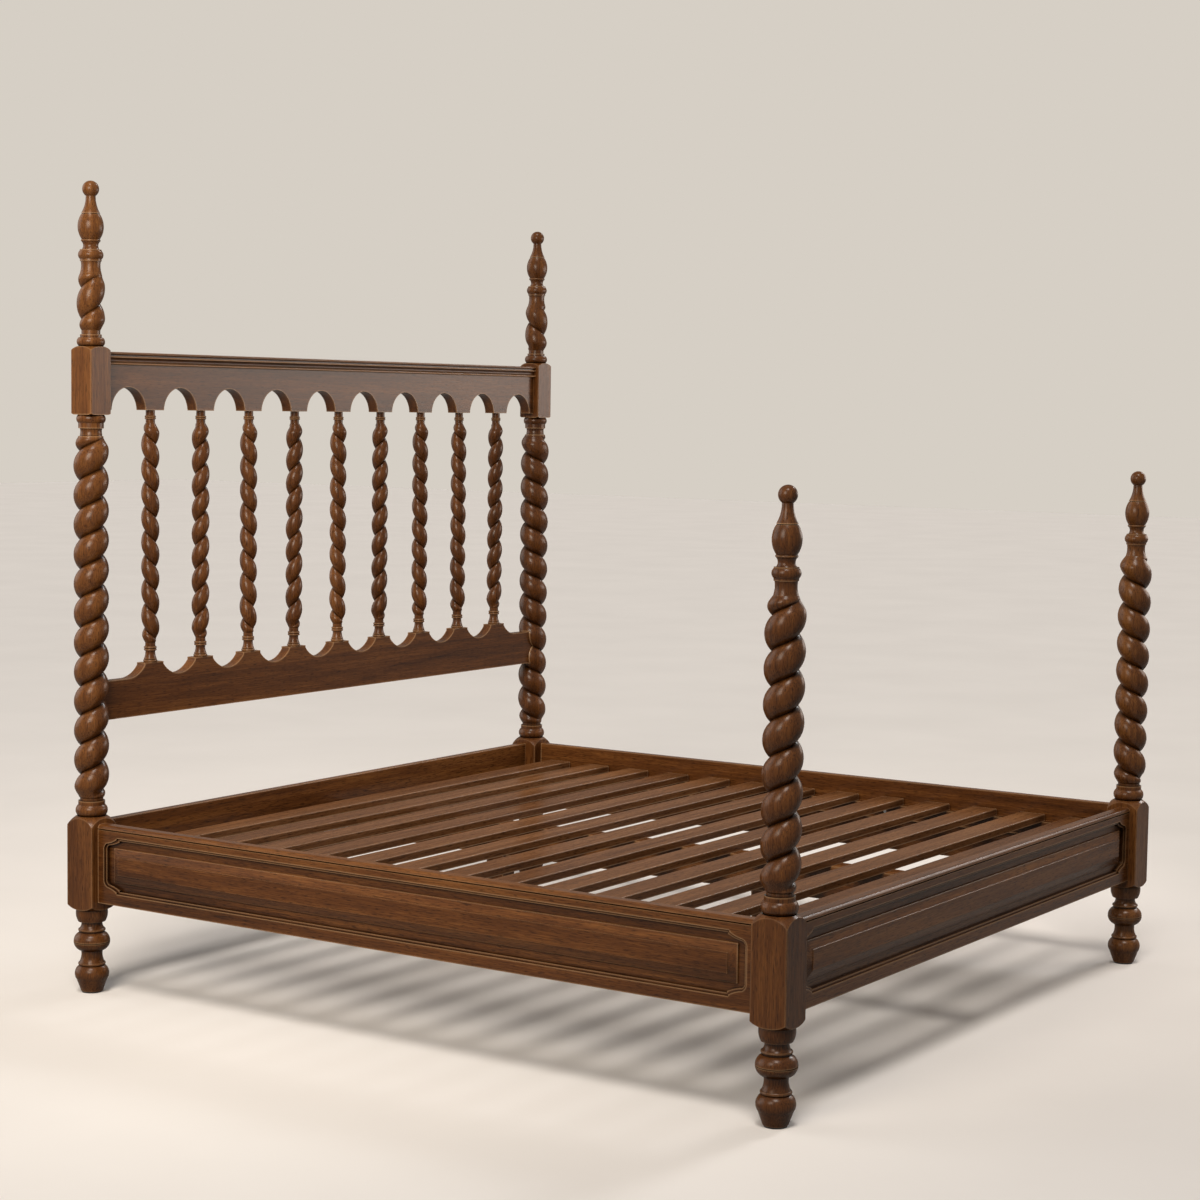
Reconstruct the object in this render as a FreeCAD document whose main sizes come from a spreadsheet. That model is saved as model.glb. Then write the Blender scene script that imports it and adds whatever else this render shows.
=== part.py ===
import FreeCAD, Part
import math
import os

import Sketcher
from FreeCAD import Placement, Rotation, Vector

# Driving sizes in millimetres (angles in degrees). The head of the bed is at +Y, its left side at -X.
SIZES = {
    # Plan and main levels, measured to the post axes and up from the floor
    "post_span_x": 1990,
    "post_span_y": 2060,
    "foot_post_height": 1391,
    "upper_twist_height": 146,
    "glide_height": 4,
    "glide_radius": 26,
    "fit_gap": 0.2,
    "joint_depth": 34,
    "mortise_spare": 1,
    "pocket_spare": 1.5,
    # Square blocks of the posts
    "block_side": 90,
    "block_bottom": 220,
    "block_top": 467,
    "block_arris": 2.5,
    "block_top_shoulder": 27,
    "block_bottom_shoulder": 16,
    "shoulder_inner_radius": 39,
    "shoulder_swell": 2.5,
    "upper_block_side": 72,
    "upper_block_bottom": 1510,
    "upper_block_top": 1686,
    "upper_block_shoulder": 13,
    "upper_shoulder_inner_radius": 31,
    "upper_block_bottom_shoulder": 8,
    "upper_bottom_inner_radius": 42,
    "core_radius": 28,
    "upper_core_radius": 22,
    # Turned leg under the block, from the foot upwards
    "foot_radius": 28.5,
    "foot_taper_height": 30,
    "foot_taper_radius": 39.5,
    "foot_bulb_height": 38,
    "foot_bulb_swell": 8.5,
    "foot_bulb_end_radius": 32,
    "leg_collar_radius": 33.5,
    "leg_lower_collar_height": 8,
    "leg_upper_collar_height": 7,
    "leg_collar_swell": 2,
    "leg_neck_foot_radius": 32.5,
    "leg_neck_radius": 28,
    "leg_lower_neck_height": 31,
    "leg_neck_hollow": 2.6,
    "leg_bulb_low_radius": 31,
    "leg_bulb_low_height": 22,
    "leg_bulb_low_swell": 3.8,
    "leg_bulb_line_radius": 47.2,
    "leg_bulb_high_height": 24,
    "leg_bulb_high_swell": 4,
    "leg_bulb_high_radius": 33,
    "line_depth": 1.8,
    "line_height": 2,
    "leg_groove_radius": 31.5,
    "leg_groove_height": 3,
    "leg_upper_neck_height": 19,
    "leg_ring_foot_radius": 35.5,
    "leg_ring_radius": 40.5,
    "leg_ring_swell": 3,
    # Turned base over a block
    "base_torus_radius": 35,
    "base_torus_swell": 6.5,
    "base_torus_height": 29,
    "base_fillet_radius": 34.5,
    "base_fillet_height": 11,
    "base_neck_radius": 30,
    "base_neck_height": 6,
    "upper_base_torus_radius": 31,
    "upper_base_torus_swell": 5,
    "upper_base_torus_height": 22,
    "upper_base_fillet_radius": 27.5,
    "upper_base_fillet_height": 8,
    "upper_base_neck_radius": 24,
    "upper_base_neck_height": 10,
    # Collar of the head posts under the upper block
    "collar_radius": 33,
    "collar_swell": 4.5,
    "collar_height": 21,
    "collar_fillet_radius": 32.5,
    "collar_fillet_height": 14,
    "collar_neck_radius": 28.5,
    "collar_neck_height": 16,
    "collar_neck_hollow": 1.2,
    # Finial, from its lower neck upwards
    "finial_neck_radius": 27.5,
    "finial_neck_height": 31,
    "finial_neck_hollow": 2,
    "finial_neck_top_radius": 25.5,
    "finial_fillet_radius": 27.5,
    "finial_fillet_height": 5.5,
    "finial_ring_radius": 28,
    "finial_ring_height": 21,
    "finial_ring_swell": 4.2,
    "finial_lip_height": 3,
    "finial_cove_radius": 23,
    "finial_cove_height": 20,
    "finial_cove_hollow": 3.8,
    "finial_bead_height": 6,
    "finial_bead_swell": 2,
    "finial_bulb_height": 64,
    "finial_bulb_swell": 9.6,
    "finial_stem_foot_radius": 24,
    "finial_stem_height": 47.5,
    "finial_stem_radius": 12.5,
    "finial_stem_hollow": 3.4,
    "finial_ball_radius": 21.5,
    "finial_ball_seat": 7,
    # Carved twists: crest and valley are radii, the runout is where the groove grows to full depth
    "twist_crest": 45,
    "twist_valley": 27,
    "twist_pitch": 76.5,
    "twist_runout": 30,
    "twist_shoulder": 36,
    "twist_seat": 0.3,
    "twist_fullness": 58,
    "upper_twist_crest": 36,
    "upper_twist_valley": 21.5,
    "upper_twist_pitch": 80,
    "upper_twist_runout": 24,
    "upper_twist_shoulder": 30,
    "foot_twist_phase": 3,
    "head_twist_phase": 23,
    "upper_twist_phase": 186,
    # Headboard
    "top_rail_bottom": 1523,
    "top_rail_top": 1646,
    "top_rail_thickness": 34,
    "top_rail_tenon_thickness": 14,
    "top_rail_tenon_inset": 14,
    "top_rail_tenon_length": 28,
    "spindle_first_gap": 217,
    "arch_width": 126,
    "arch_height": 60,
    "cap_depth": 52,
    "cap_height": 33,
    "cap_groove_depth": 6,
    "cap_lip_height": 5,
    "cap_cove_height": 12,
    "cap_cove_hollow": 2.2,
    "cap_bead_height": 5,
    "cap_top_bead_height": 8,
    "cap_bead_swell": 1.8,
    "cap_step": 4,
    "lower_rail_bottom": 714,
    "lower_rail_top": 853,
    "lower_rail_thickness": 30,
    "lower_rail_axis_gap": 18,
    "merlon_width": 70,
    "merlon_side": 6.5,
    "scallop_depth": 37,
    # Spindles of the headboard
    "spindle_pin_radius": 7,
    "spindle_pin_length": 20,
    "spindle_base_radius": 17.3,
    "spindle_base_swell": 1.5,
    "spindle_base_height": 6.5,
    "spindle_foot_ring_radius": 15.8,
    "spindle_foot_ring_swell": 1.2,
    "spindle_foot_ring_height": 4.5,
    "spindle_bell_height": 19,
    "spindle_bell_hollow": 0.9,
    "spindle_bell_top_radius": 13,
    "spindle_ring_radius": 15.2,
    "spindle_ring_swell": 1.8,
    "spindle_ring_height": 6,
    "spindle_neck_radius": 13.5,
    "spindle_neck_height": 9,
    "spindle_twist_crest": 24,
    "spindle_twist_valley": 12,
    "spindle_twist_pitch": 65,
    "spindle_twist_runout": 24,
    "spindle_twist_shoulder": 30,
    "spindle_twist_phase": 0,
    "spindle_top_neck_radius": 12.2,
    "spindle_top_ring_radius": 13.2,
    "spindle_top_ring_swell": 1.7,
    "spindle_top_ring_height": 5,
    "spindle_top_neck_height": 14,
    # Rails round the bed and their raised panels
    "rail_bottom": 244,
    "rail_height": 206,
    "rail_thickness": 32,
    "rail_face_offset": 23,
    "rail_bead_size": 10,
    "rail_quirk": 3.5,
    "rail_arris": 2,
    "rail_tenon_thickness": 16,
    "rail_tenon_inset": 25,
    "recess_margin": 36,
    "recess_end_margin": 28,
    "recess_depth": 14,
    "recess_lip": 6,
    "recess_lip_depth": 5,
    "recess_ear_length": 44,
    "recess_ear_drop": 15,
    "recess_ear_round": 11,
    "recess_ear_step": 4,
    "recess_ear_swell": 1.2,
    "panel_gap": 22,
    "panel_end_gap": 21,
    "panel_edge": 5,
    "panel_bevel": 19,
    "panel_bevel_rise": 7,
    "panel_field_step": 1.6,
    # Slats, ledgers, centre beam and its legs
    "slat_count": 13,
    "slat_end_space": 83,
    "slat_width": 76,
    "slat_thickness": 20,
    "slat_top": 402,
    "slat_end_gap": 12,
    "slat_arris": 3,
    "ledger_width": 30,
    "ledger_height": 42,
    "ledger_end_gap": 20,
    "peg_radius": 4,
    "peg_depth": 12,
    "beam_width": 64,
    "beam_height": 88,
    "hanger_sheet": 4,
    "hanger_reach": 60,
    "hanger_flange": 30,
    "hanger_height": 70,
    "hanger_play": 0.5,
    "centre_leg_spacing": 860,
    "centre_leg_top_side": 58,
    "centre_leg_foot_side": 42,
    "leg_glide_radius": 17,
    "leg_bolt_radius": 5,
    "leg_bolt_depth": 45,
    # Hooked plates that hold the side rails to the posts
    "plate_sheet": 3,
    "hook_plate_width": 18,
    "hook_plate_length": 130,
    "slot_plate_width": 24,
    "slot_plate_length": 156,
    "hook_spread": 60,
    "hook_thickness": 4,
    "hook_height": 24,
    "hook_drop": 8,
    "hook_lip": 5,
    "hook_play": 0.4,
    # Countersunk wood screws
    "screw_radius": 2.2,
    "screw_head_radius": 4.4,
    "screw_head_height": 2.6,
    "ledger_screw_length": 46,
    "ledger_screw_count": 7,
    "plate_screw_length": 28,
    "plate_screw_inset": 9,
    "hanger_screw_inset": 15,
    "hanger_screw_length": 20,
}

# Hands of the nine spindles from the left post to the right one
SPINDLE_HANDS = ("left", "right", "left", "right", "left", "right", "left", "left", "right")

# Points of each interpolated twist surface: per half section, and along one turn
POINTS_PER_HALF = 10
POINTS_PER_TURN = 20
LEVEL_TOLERANCE = 1e-3

# Precision and largest tolerance of the repair after a cut into a twist
FIX_PRECISION = 1e-5
FIX_LIMIT = 1e-2


class Size:
    """A length that is known as a text over the sheet's cells and as its present value."""

    def __init__(self, text, value):
        self.text = text
        self.value = value

    def __add__(self, other):
        other = as_size(other)
        return Size(f"{self.text} + {other.text}", self.value + other.value)

    def __sub__(self, other):
        other = as_size(other)
        return Size(f"{self.text} - ({other.text})", self.value - other.value)

    def __mul__(self, other):
        other = as_size(other)
        return Size(f"({self.text}) * ({other.text})", self.value * other.value)

    def __truediv__(self, other):
        other = as_size(other)
        return Size(f"({self.text}) / ({other.text})", self.value / other.value)

    def __neg__(self):
        return Size(f"-({self.text})", -self.value)


def as_size(number):
    """Let plain numbers mix with sizes."""
    if isinstance(number, Size):
        return number
    return Size(repr(number), float(number))


doc = FreeCAD.newDocument("PosterBed")
sheet = doc.addObject("Spreadsheet::Sheet", "Sizes")
for row, (alias, number) in enumerate(SIZES.items(), start=1):
    sheet.set(f"A{row}", alias)
    sheet.set(f"B{row}", str(number))
    sheet.setAlias(f"B{row}", alias)
doc.recompute()

size = {alias: Size(f"Sizes.{alias}", float(sheet.get(alias))) for alias in SIZES}
ZERO = as_size(0)
nodes = []


def bind(obj, **settings):
    """Tie properties of a feature to the sheet."""
    for name, length in settings.items():
        obj.setExpression(name, as_size(length).text)


def place(obj, x=ZERO, y=ZERO, z=ZERO, turn=0, axis=Vector(0, 0, 1)):
    """Give a feature its turn in degrees and tie its position to the sheet."""
    obj.Placement = Placement(Vector(), Rotation(axis, turn))
    for name, length in (("x", x), ("y", y), ("z", z)):
        obj.setExpression(f".Placement.Base.{name}", as_size(length).text)


def keep(obj, label):
    """Mark a finished sub-part and give it its name."""
    obj.Label = label
    nodes.append(obj)
    return obj


# Outlines: a step is a point to go to and, for a curved stretch, its radius, the side it swells to
# (+1 is the right of the way of travel) and how far its centre lies behind the chord
def line_to(x, y):
    return (as_size(x), as_size(y), None, 0, 0)


def round_to(x, y, radius, side=1):
    """Quarter round between two square edges."""
    return (as_size(x), as_size(y), radius, side, radius.value / math.sqrt(2))


def swell_to(start, x, y, swell, side=1):
    """Arc from a step to a point that stands off its chord by swell."""
    x = as_size(x)
    y = as_size(y)
    return arc_over(x - start[0], y - start[1], x, y, swell, side)


def arc_over(across, along, x, y, swell, side):
    """Arc to a point over a chord that is given by its two legs."""
    radius = ((across * across + along * along) / 4 + swell * swell) / (swell * 2)
    return (x, y, radius, side, radius.value - swell.value)


class Turning:
    """Half section of a turned piece, drawn from the bottom upwards."""

    def __init__(self, radius, z):
        self.radius = radius
        self.z = z
        self.steps = [line_to(radius, z)]

    def step(self, radius):
        """Go level to another radius."""
        self.radius = radius
        self.steps.append(line_to(radius, self.z))

    def rise(self, height, radius=None):
        """Go straight up, or to another radius along a cone."""
        self.radius = radius or self.radius
        self.z = self.z + height
        self.steps.append(line_to(self.radius, self.z))

    def rise_to(self, z):
        """Go straight up to a height over the floor."""
        self.z = z
        self.steps.append(line_to(self.radius, z))

    def curve(self, height, swell, radius=None, hollow=False):
        """Go up along an arc that stands out from its chord, or is hollow."""
        radius = radius or self.radius
        across = radius - self.radius
        self.radius = radius
        self.z = self.z + height
        self.steps.append(arc_over(across, height, radius, self.z, swell, -1 if hollow else 1))


def sketch_on(body, name, role):
    """An empty sketch on one of the body's own origin planes."""
    sketch = body.newObject("Sketcher::SketchObject", name)
    plane = [feature for feature in body.Origin.OriginFeatures if feature.Role == role][0]
    sketch.AttachmentSupport = [(plane, "")]
    sketch.MapMode = "FlatFace"
    return sketch


def arc_geometry(start, end, radius, side, to_centre):
    """Arc between two points that swells to one side of the way of travel."""
    right = Vector(end.y - start.y, start.x - end.x, 0).normalize()
    centre = (start + end) / 2 - right * (to_centre * side)
    first, last = (start, end) if side > 0 else (end, start)
    first_angle = math.atan2(first.y - centre.y, first.x - centre.x)
    last_angle = math.atan2(last.y - centre.y, last.x - centre.x)
    if last_angle < first_angle:
        last_angle += 2 * math.pi
    return Part.ArcOfCircle(Part.Circle(centre, Vector(0, 0, 1), radius), first_angle, last_angle)


def draw_outline(sketch, steps):
    """Draw a closed outline whose corners and radii all follow the sheet."""
    corners = [Vector(step[0].value, step[1].value, 0) for step in steps]
    curves = []
    for index, step in enumerate(steps):
        start = corners[index - 1]
        end = corners[index]
        if step[2] is None:
            curves.append(Part.LineSegment(start, end))
        else:
            curves.append(arc_geometry(start, end, step[2].value, step[3], step[4]))
    sketch.addGeometry(curves)
    rules = []
    texts = []
    for index, step in enumerate(steps):
        start_end, far_end = curve_ends(sketch.Geometry[index], corners[index - 1])
        before_end = curve_ends(sketch.Geometry[index - 1], corners[index - 2])[1]
        before = (index - 1) % len(steps)
        rules.append(Sketcher.Constraint("Coincident", before, before_end, index, start_end))
        for kind, length, axis in (("DistanceX", step[0], -2), ("DistanceY", step[1], -1)):
            if length is ZERO:
                rules.append(Sketcher.Constraint("PointOnObject", index, far_end, axis))
            else:
                texts.append((len(rules), length.text))
                rules.append(Sketcher.Constraint(kind, -1, 1, index, far_end, length.value))
        if step[2] is not None:
            texts.append((len(rules), step[2].text))
            rules.append(Sketcher.Constraint("Radius", index, step[2].value))
    sketch.addConstraint(rules)
    for number, words in texts:
        sketch.setExpression(f"Constraints[{number}]", words)


def curve_ends(curve, start):
    """Which end of a drawn curve is its start on the way of travel, and which is its far end."""
    if (curve.StartPoint - start).Length < 1e-6:
        return 1, 2
    return 2, 1


def turned(name, steps):
    """A piece turned on the lathe: its half section, swept round the Z axis."""
    body = doc.addObject("PartDesign::Body", name)
    sketch = sketch_on(body, name + "Section", "XZ_Plane")
    draw_outline(sketch, [line_to(ZERO, steps[0][1])] + steps + [line_to(ZERO, steps[-1][1])])
    spin = body.newObject("PartDesign::Revolution", name + "Turning")
    spin.Profile = sketch
    spin.ReferenceAxis = (sketch, ["V_Axis"])
    spin.Angle = 360
    return body


def moulded(name, steps, length, role="YZ_Plane", midplane=False):
    """A piece of constant section: an outline run out to a length."""
    body = doc.addObject("PartDesign::Body", name)
    sketch = sketch_on(body, name + "Section", role)
    draw_outline(sketch, steps)
    pad = body.newObject("PartDesign::Pad", name + "Run")
    pad.Profile = sketch
    pad.Midplane = midplane
    bind(pad, Length=length)
    return body


def box(name, low, high):
    """A block between two corners."""
    block = doc.addObject("Part::Box", name)
    bind(block, Length=as_size(high[0]) - low[0], Width=as_size(high[1]) - low[1],
         Height=as_size(high[2]) - low[2])
    place(block, *low)
    return block


def fuse(name, *shapes):
    joined = doc.addObject("Part::MultiFuse", name)
    joined.Shapes = list(shapes)
    return joined


def cut(name, base, *tools):
    result = doc.addObject("Part::Cut", name)
    result.Base = base
    result.Tool = tools[0] if len(tools) == 1 else gathered(name + "Tools", *tools)
    return result


def gathered(name, *shapes):
    group = doc.addObject("Part::Compound", name)
    group.Links = list(shapes)
    return group


def mirrored(name, source, normal, base_x=ZERO):
    """The mirror image of a feature in a plane square to X or Y."""
    image = doc.addObject("Part::Mirroring", name)
    image.Source = source
    image.Normal = normal
    bind(image, **{"Base.x": base_x})
    return image


ACROSS = Vector(1, 0, 0)
ALONG = Vector(0, 1, 0)


# Carved twist: one groove winds round a turned blank and runs out where the blank narrows to its necks
def ease(share):
    """Smooth step from 0 to 1."""
    share = min(max(share, 0.0), 1.0)
    return share * share * (3 - 2 * share)


def twist_section(height, length, low, high, crest, valley, shoulder, runout):
    """Radius of the blank and depth of the groove at a height over the lower neck."""
    nearest = min(height, length - height)
    neck = low if height < length / 2 else high
    blank = neck + (crest - neck) * math.sin(math.pi / 2 * min(nearest / shoulder, 1.0))
    depth = (crest - valley) * ease(nearest / runout)
    return blank, min(depth, blank - min(valley, neck))


def twist_surface(pitch, length, phase, sections):
    """Surface of a single-start twist whose lobe is a full round and meets itself in a sharp valley."""
    reach = math.radians(size["twist_fullness"].value)
    rows = int(math.ceil(POINTS_PER_TURN * length / pitch))
    grid = []
    for row in range(rows + 1):
        height = length * row / rows
        blank, depth = twist_section(height, length, *sections)
        turn = 2 * math.pi * height / pitch + phase
        ring = []
        for step in range(-POINTS_PER_HALF, POINTS_PER_HALF + 1):
            lean = reach * step / POINTS_PER_HALF
            angle = math.pi * math.sin(lean) / math.sin(reach)
            radius = blank - depth * (1 - math.cos(lean)) / (1 - math.cos(reach))
            ring.append(Vector(radius * math.cos(angle + turn), radius * math.sin(angle + turn), height))
        grid.append(ring)
    surface = Part.BSplineSurface()
    surface.interpolate(grid)
    return surface


def twist_faces(surface):
    """The two faces of a twist, on both sides of its crest."""
    low_u, high_u, valley_v, end_v = surface.bounds()
    crest_v = (valley_v + end_v) / 2
    faces = []
    for first_v, last_v in ((valley_v, crest_v), (crest_v, end_v)):
        half = surface.copy()
        half.segment(low_u, high_u, first_v, last_v)
        faces.append(half.toShape())
    return faces


def level_edges(faces, height):
    """The edges of the carved faces that lie level at a height."""
    level = []
    for face in faces:
        for edge in face.Edges:
            span = edge.BoundBox
            if abs(span.ZMin - height) < LEVEL_TOLERANCE and abs(span.ZMax - height) < LEVEL_TOLERANCE:
                level.append(edge)
    return level


def twist(name, kind, bottom, top, low_radius, high_radius, phase, housing=None):
    """Right-handed twist between two necks, on the Z axis, with an optional housing cut into it."""
    seat = size["twist_seat"].value
    length = top.value - bottom.value
    sections = (low_radius.value - seat, high_radius.value - seat, size[kind + "_crest"].value,
                size[kind + "_valley"].value, size[kind + "_shoulder"].value, size[kind + "_runout"].value)
    surface = twist_surface(size[kind + "_pitch"].value, length, math.radians(phase.value), sections)
    faces = twist_faces(surface)
    ends = [Part.Face(Part.Wire(Part.__sortEdges__(level_edges(faces, z)))) for z in (0.0, length)]
    shell = Part.Shell(faces + ends)
    shell.sewShape()
    solid = Part.Solid(shell)
    if solid.Volume < 0:
        solid.reverse()
    solid.translate(Vector(0, 0, bottom.value))
    if housing:
        solid = solid.cut(housing)
        solid.fix(FIX_PRECISION, FIX_PRECISION, FIX_LIMIT)
    carved = doc.addObject("Part::Feature", name)
    carved.Shape = solid
    return carved


# Posts
def turn_leg():
    """Turned leg from the floor glide to the underside of the block."""
    shape = Turning(size["foot_radius"], size["glide_height"])
    shape.rise(size["foot_taper_height"], size["foot_taper_radius"])
    shape.curve(size["foot_bulb_height"], size["foot_bulb_swell"], size["foot_bulb_end_radius"])
    turn_collar_and_neck(shape, "leg_lower")
    shape.step(size["leg_bulb_low_radius"])
    shape.curve(size["leg_bulb_low_height"], size["leg_bulb_low_swell"], size["leg_bulb_line_radius"])
    turn_line(shape)
    shape.curve(size["leg_bulb_high_height"], size["leg_bulb_high_swell"], size["leg_bulb_high_radius"])
    shape.step(size["leg_groove_radius"])
    shape.rise(size["leg_groove_height"])
    turn_collar_and_neck(shape, "leg_upper")
    shape.step(size["leg_ring_foot_radius"])
    shape.curve(size["block_bottom"] - shape.z, size["leg_ring_swell"], size["leg_ring_radius"])
    return shape


def turn_collar_and_neck(shape, kind):
    """Thin bead round the leg and the hollow neck over it."""
    shape.step(size["leg_collar_radius"])
    shape.curve(size[kind + "_collar_height"], size["leg_collar_swell"])
    shape.step(size["leg_neck_foot_radius"])
    shape.curve(size[kind + "_neck_height"], size["leg_neck_hollow"], size["leg_neck_radius"], True)


def turn_line(shape):
    """Fine line cut into a turned piece."""
    outer = shape.radius
    shape.step(outer - size["line_depth"])
    shape.rise(size["line_height"])
    shape.step(outer)


def turn_core(shape, radius, top):
    """Plain core through a square block."""
    shape.step(radius)
    shape.rise_to(top)


def turn_base(shape, kind):
    """Torus, fillet and neck that stand on a block."""
    shape.step(size[kind + "_torus_radius"])
    shape.curve(size[kind + "_torus_height"], size[kind + "_torus_swell"])
    shape.step(size[kind + "_fillet_radius"])
    shape.rise(size[kind + "_fillet_height"])
    shape.step(size[kind + "_neck_radius"])
    shape.rise(size[kind + "_neck_height"])


FINIAL_PARTS = ("neck", "fillet", "ring", "lip", "cove", "bead", "bulb", "stem")


def finial_height():
    """Height of the finial over the top of a twist."""
    total = size["finial_ball_radius"] * 2 - size["finial_ball_seat"] + size["line_height"]
    for part in FINIAL_PARTS:
        total = total + size[f"finial_{part}_height"]
    return total


def turn_finial(shape):
    """Neck, fillet, ring, lip, cove, bead, bulb, line and stem, from the top of a twist upwards."""
    shape.curve(size["finial_neck_height"], size["finial_neck_hollow"], size["finial_neck_top_radius"], True)
    shape.step(size["finial_fillet_radius"])
    shape.rise(size["finial_fillet_height"])
    shape.step(size["finial_ring_radius"])
    shape.curve(size["finial_ring_height"], size["finial_ring_swell"])
    shape.step(size["finial_fillet_radius"])
    shape.rise(size["finial_lip_height"])
    shape.step(size["finial_cove_radius"])
    shape.curve(size["finial_cove_height"], size["finial_cove_hollow"], hollow=True)
    shape.curve(size["finial_bead_height"], size["finial_bead_swell"])
    shape.curve(size["finial_bulb_height"], size["finial_bulb_swell"], size["finial_stem_foot_radius"])
    turn_line(shape)
    shape.curve(size["finial_stem_height"], size["finial_stem_hollow"], size["finial_stem_radius"], True)


def ball(name, top):
    """Ball on the tip of a finial."""
    tip = doc.addObject("Part::Sphere", name)
    bind(tip, Radius=size["finial_ball_radius"])
    place(tip, z=top - size["finial_ball_radius"])
    return tip


def square_block(name, side, low, high):
    """Square part of a post with turned ends; each end is its level, its shoulder and its inner radius."""
    bottom, low_shoulder, low_inner = low
    top, high_shoulder, high_inner = high
    corner_reach = side * 0.72
    dome = Turning(low_inner, bottom)
    dome.curve(low_shoulder, size["shoulder_swell"], corner_reach)
    dome.rise_to(top - high_shoulder)
    dome.curve(high_shoulder, size["shoulder_swell"], high_inner)
    block = doc.addObject("Part::Common", name)
    block.Base = turned(name + "Dome", dome.steps)
    prism = moulded(name + "Prism", rounded_square(side), top - bottom, "XY_Plane")
    place(prism, -(side / 2), -(side / 2), bottom)
    block.Tool = prism
    return block


def rounded_square(side):
    """Outline of a square post whose arrises are rounded, with its corner at the origin."""
    arris = size["block_arris"]
    return [line_to(side - arris, ZERO), round_to(side, arris, arris), line_to(side, side - arris),
            round_to(side - arris, side, arris), line_to(arris, side), round_to(ZERO, side - arris, arris),
            line_to(ZERO, arris), round_to(arris, ZERO, arris)]


def lower_block(name):
    inner = size["shoulder_inner_radius"]
    low = (size["block_bottom"], size["block_bottom_shoulder"], inner)
    high = (size["block_top"], size["block_top_shoulder"], inner)
    return square_block(name, size["block_side"], low, high)


def upper_block(name):
    low = (size["upper_block_bottom"], size["upper_block_bottom_shoulder"], size["upper_bottom_inner_radius"])
    high = (size["upper_block_top"], size["upper_block_shoulder"], size["upper_shoulder_inner_radius"])
    return square_block(name, size["upper_block_side"], low, high)


def turn_lower_post(name):
    """What both kinds of post share, up to the neck under the long twist."""
    shape = turn_leg()
    turn_core(shape, size["core_radius"], size["block_top"])
    turn_base(shape, "base")
    return turned(name, shape.steps), shape.z


def finial(name, bottom):
    """Finial over a twist, without its ball."""
    shape = Turning(size["finial_neck_radius"], bottom)
    turn_finial(shape)
    return turned(name, shape.steps)


def hook_pocket(name, side):
    """Room in a post for the slotted plate and for the hooks behind it; side +1 is the +Y face."""
    gap = size["fit_gap"]
    centre = -rail_centre()
    half = size["slot_plate_width"] / 2 + gap
    face = size["block_side"] / 2
    behind = size["plate_sheet"] + size["hook_play"] + size["hook_lip"] + size["pocket_spare"]
    middle = hook_level()
    half_long = size["slot_plate_length"] / 2 + gap
    slim = size["hook_thickness"] / 2 + size["pocket_spare"]
    tall = size["hook_spread"] / 2 + size["hook_height"] / 2 + size["hook_drop"] + size["pocket_spare"]
    recess = box_facing(name + "Recess", side,
                        (centre - half, face - size["plate_sheet"], middle - half_long),
                        (centre + half, face, middle + half_long))
    pocket = box_facing(name + "Depth", side, (centre - slim, face - behind, middle - tall),
                        (centre + slim, face, middle + tall))
    return recess, pocket


def box_facing(name, side, low, high):
    """A block between two corners, or its image across the XZ plane for side -1."""
    if side > 0:
        return box(name, low, high)
    return box(name, (low[0], -high[1], low[2]), (high[0], -low[1], high[2]))


def rail_mortise(name, side):
    """Mortise in the inner face of a post for the tenon of a cross rail; side -1 is the foot."""
    gap = size["fit_gap"]
    half = size["rail_tenon_thickness"] / 2 + gap
    centre = rail_centre()
    face = size["block_side"] / 2
    low = size["rail_bottom"] + size["rail_tenon_inset"] - gap
    high = size["rail_bottom"] + size["rail_height"] - size["rail_tenon_inset"] + gap
    return box_facing(name, side, (face - size["joint_depth"] - size["mortise_spare"], centre - half, low),
                      (face, centre + half, high))


def rail_centre():
    """How far the middle of a rail's thickness lies outside the post axes."""
    return size["rail_face_offset"] - size["rail_thickness"] / 2


def hook_level():
    """Height of the middle of the hooked plates."""
    return size["rail_bottom"] + size["rail_height"] / 2


def plate_screw_holes(name, side):
    """Pilot holes in a post for the screws of the slotted plate."""
    face = side * (size["block_side"].value / 2)
    places = []
    for level in plate_screw_levels("slot_plate_length"):
        places.append(((-rail_centre().value, face, level), (0, -side, 0)))
    return rods(name, size["screw_radius"].value + size["fit_gap"].value,
                size["plate_screw_length"].value + size["plate_sheet"].value, places)


def plate_screw_levels(length_name):
    """Heights of the two screws of a plate."""
    reach = size[length_name].value / 2 - size["plate_screw_inset"].value
    return (hook_level().value - reach, hook_level().value + reach)


def rods(name, radius, length, places):
    """Separate round rods of one size; each place is a foot point and a direction."""
    group = doc.addObject("Part::Feature", name)
    solids = [Part.makeCylinder(radius, length, Vector(*foot), Vector(*way)) for foot, way in places]
    group.Shape = Part.makeCompound(solids)
    return group


def screws(name, length, places):
    """Separate countersunk screws; each place is the middle of the head's flat face and the way in."""
    head = Part.makeCone(size["screw_head_radius"].value, size["screw_radius"].value,
                         size["screw_head_height"].value)
    screw = head.fuse(Part.makeCylinder(size["screw_radius"].value, length)).removeSplitter()
    solids = []
    for head_point, way in places:
        solid = screw.copy()
        solid.Placement = Placement(Vector(*head_point), Rotation(Vector(0, 0, 1), Vector(*way)))
        solids.append(solid)
    group = doc.addObject("Part::Feature", name)
    group.Shape = Part.makeCompound(solids)
    return group


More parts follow.
